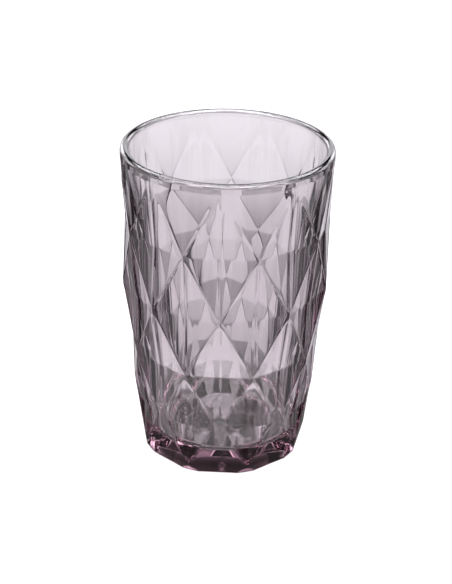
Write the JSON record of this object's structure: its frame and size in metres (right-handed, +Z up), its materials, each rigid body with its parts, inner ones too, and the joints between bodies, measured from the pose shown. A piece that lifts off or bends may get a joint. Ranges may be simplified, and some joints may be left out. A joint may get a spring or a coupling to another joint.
{
  "type": "tumbler",
  "caption": "Tall thick-walled pressed-glass tumbler with a net of sunken diamond facets, a rounded rim, a smooth inner well and a solid faceted base.",
  "frame": {"origin": "middle of the round underside, on the surface that the glass stands on", "axes": "+Z up along the glass's axis towards the mouth; -Y points at one of the diamond net's top tips"},
  "size_m": [0.0828, 0.0828, 0.129],
  "materials": {
    "glass": "polished smoky mauve-grey pressed glass"
  },
  "bodies": {
    "root": {"tumbler_glass": "glass"}
  },
  "joints": []
}
